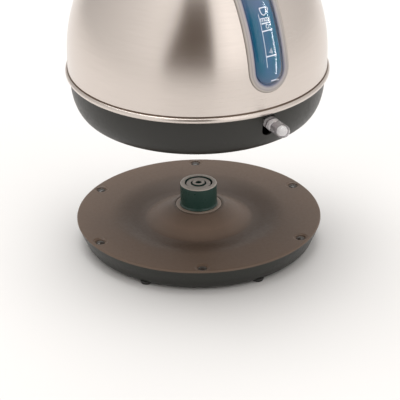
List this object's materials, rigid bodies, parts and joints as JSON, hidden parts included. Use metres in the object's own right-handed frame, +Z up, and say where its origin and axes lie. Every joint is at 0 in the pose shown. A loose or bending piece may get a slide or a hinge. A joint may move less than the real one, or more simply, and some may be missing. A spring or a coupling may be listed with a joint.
{
  "type": "electric kettle",
  "caption": "Dome-shaped brushed metal cordless kettle with hoop handle, side level window and switch lever, lifted clear of its round swivel power base.",
  "frame": {"origin": "on the table, under the centre of the power base", "axes": "+Z up along the connector axis, +X towards the level window and switch lever, -X towards the spout"},
  "size_m": [0.227, 0.1956, 0.337],
  "materials": {
    "base_brown_black": "fine textured, semi-matte",
    "base_side": "fine textured, semi-matte",
    "nub_black": "smooth",
    "foot_rubber": "matt",
    "screw_steel": "turned",
    "pillar_black": "semi-gloss moulded",
    "contact_brass": "plain",
    "gland_black": "matt",
    "shutter_grey": "moulded",
    "brushed_steel": "brushed round the body",
    "floor_steel": "rolled",
    "spreader_aluminium": "cast",
    "skirt_black": "satin",
    "inner_black": "moulded",
    "control_cream": "moulded",
    "bimetal": "plain",
    "steam_clear": "natural translucent",
    "lamp_glass": "clear",
    "lever_clear": "clear moulded",
    "rocker_red": "moulded",
    "window_clear": "frosted clear",
    "gauge_blue": "tinted clear",
    "silicone": "translucent",
    "satin_steel": "satin",
    "grip_black": "fine textured"
  },
  "bodies": {
    "power_base": {"base_cover": "base_brown_black", "base_tray": "base_side", "rim_plugs": "nub_black", "base_feet": "foot_rubber", "base_screws": "screw_steel", "connector_pillar": "pillar_black", "live_contact": "contact_brass", "neutral_contact": "contact_brass", "earth_contact": "contact_brass", "cord_gland": "gland_black"},
    "slot_shutter": {"shutter_ring": "shutter_grey"},
    "lid": {"lid_shell": "brushed_steel", "lid_liner": "inner_black", "lid_seal": "silicone", "lid_knob": "grip_black", "knob_screw": "screw_steel"},
    "spout_filter": {"filter_frame": "inner_black", "filter_mesh": "floor_steel"},
    "lever": {"switch_lever": "lever_clear"},
    "rocker": {"trip_rocker": "rocker_red"},
    "kettle": {"floor_gasket": "foot_rubber", "underplate_screws": "screw_steel", "handle_screws": "screw_steel", "lever_pin": "screw_steel", "rocker_pin": "screw_steel", "socket_pin": "contact_brass", "socket_rings": "contact_brass", "element_terminals": "contact_brass", "steel_body": "brushed_steel", "spout": "brushed_steel", "floor_plate": "floor_steel", "heating_element": "floor_steel", "heat_spreader": "spreader_aluminium", "skirt": "skirt_black", "underplate": "inner_black", "lever_bracket": "inner_black", "control_unit": "control_cream", "bimetal_disc": "bimetal", "steam_tube": "steam_clear", "indicator_lamp": "lamp_glass", "window_frame": "window_clear", "gauge_lens": "gauge_blue", "window_gasket": "silicone", "lid_collar": "satin_steel", "handle_bracket_rear": "satin_steel", "handle_bracket_front": "satin_steel", "handle_upper_shell": "grip_black", "handle_lower_shell": "grip_black"}
  },
  "joints": [
    {"name": "kettle_swivel", "type": "hinge", "parent": "power_base", "child": "slot_shutter", "pos_m": [0, 0, 0.032], "axis": [0, 0, 1], "continuous": true},
    {"name": "kettle_lift", "type": "slide", "parent": "slot_shutter", "child": "kettle", "axis": [0, 0, 1], "range_m": [-0.09, 0.05]},
    {"name": "lid_lift", "type": "slide", "parent": "kettle", "child": "lid", "axis": [0, 0, 1], "range_m": [0, 0.016]},
    {"name": "filter_pull", "type": "slide", "parent": "kettle", "child": "spout_filter", "axis": [0.6691, 0, -0.7431], "range_m": [0, 0.012]},
    {"name": "switch_press", "type": "hinge", "parent": "kettle", "child": "lever", "pos_m": [0.068, 0, 0.1348], "axis": [0, 1, 0], "range_deg": [0, 13]},
    {"name": "rocker_tilt", "type": "hinge", "parent": "kettle", "child": "rocker", "pos_m": [0.044, 0, 0.129], "axis": [0, 1, 0], "range_deg": [-11, 0]}
  ],
  "couplings": [
    {"joint": "rocker_tilt", "follows": "switch_press", "ratio": -0.8}
  ]
}
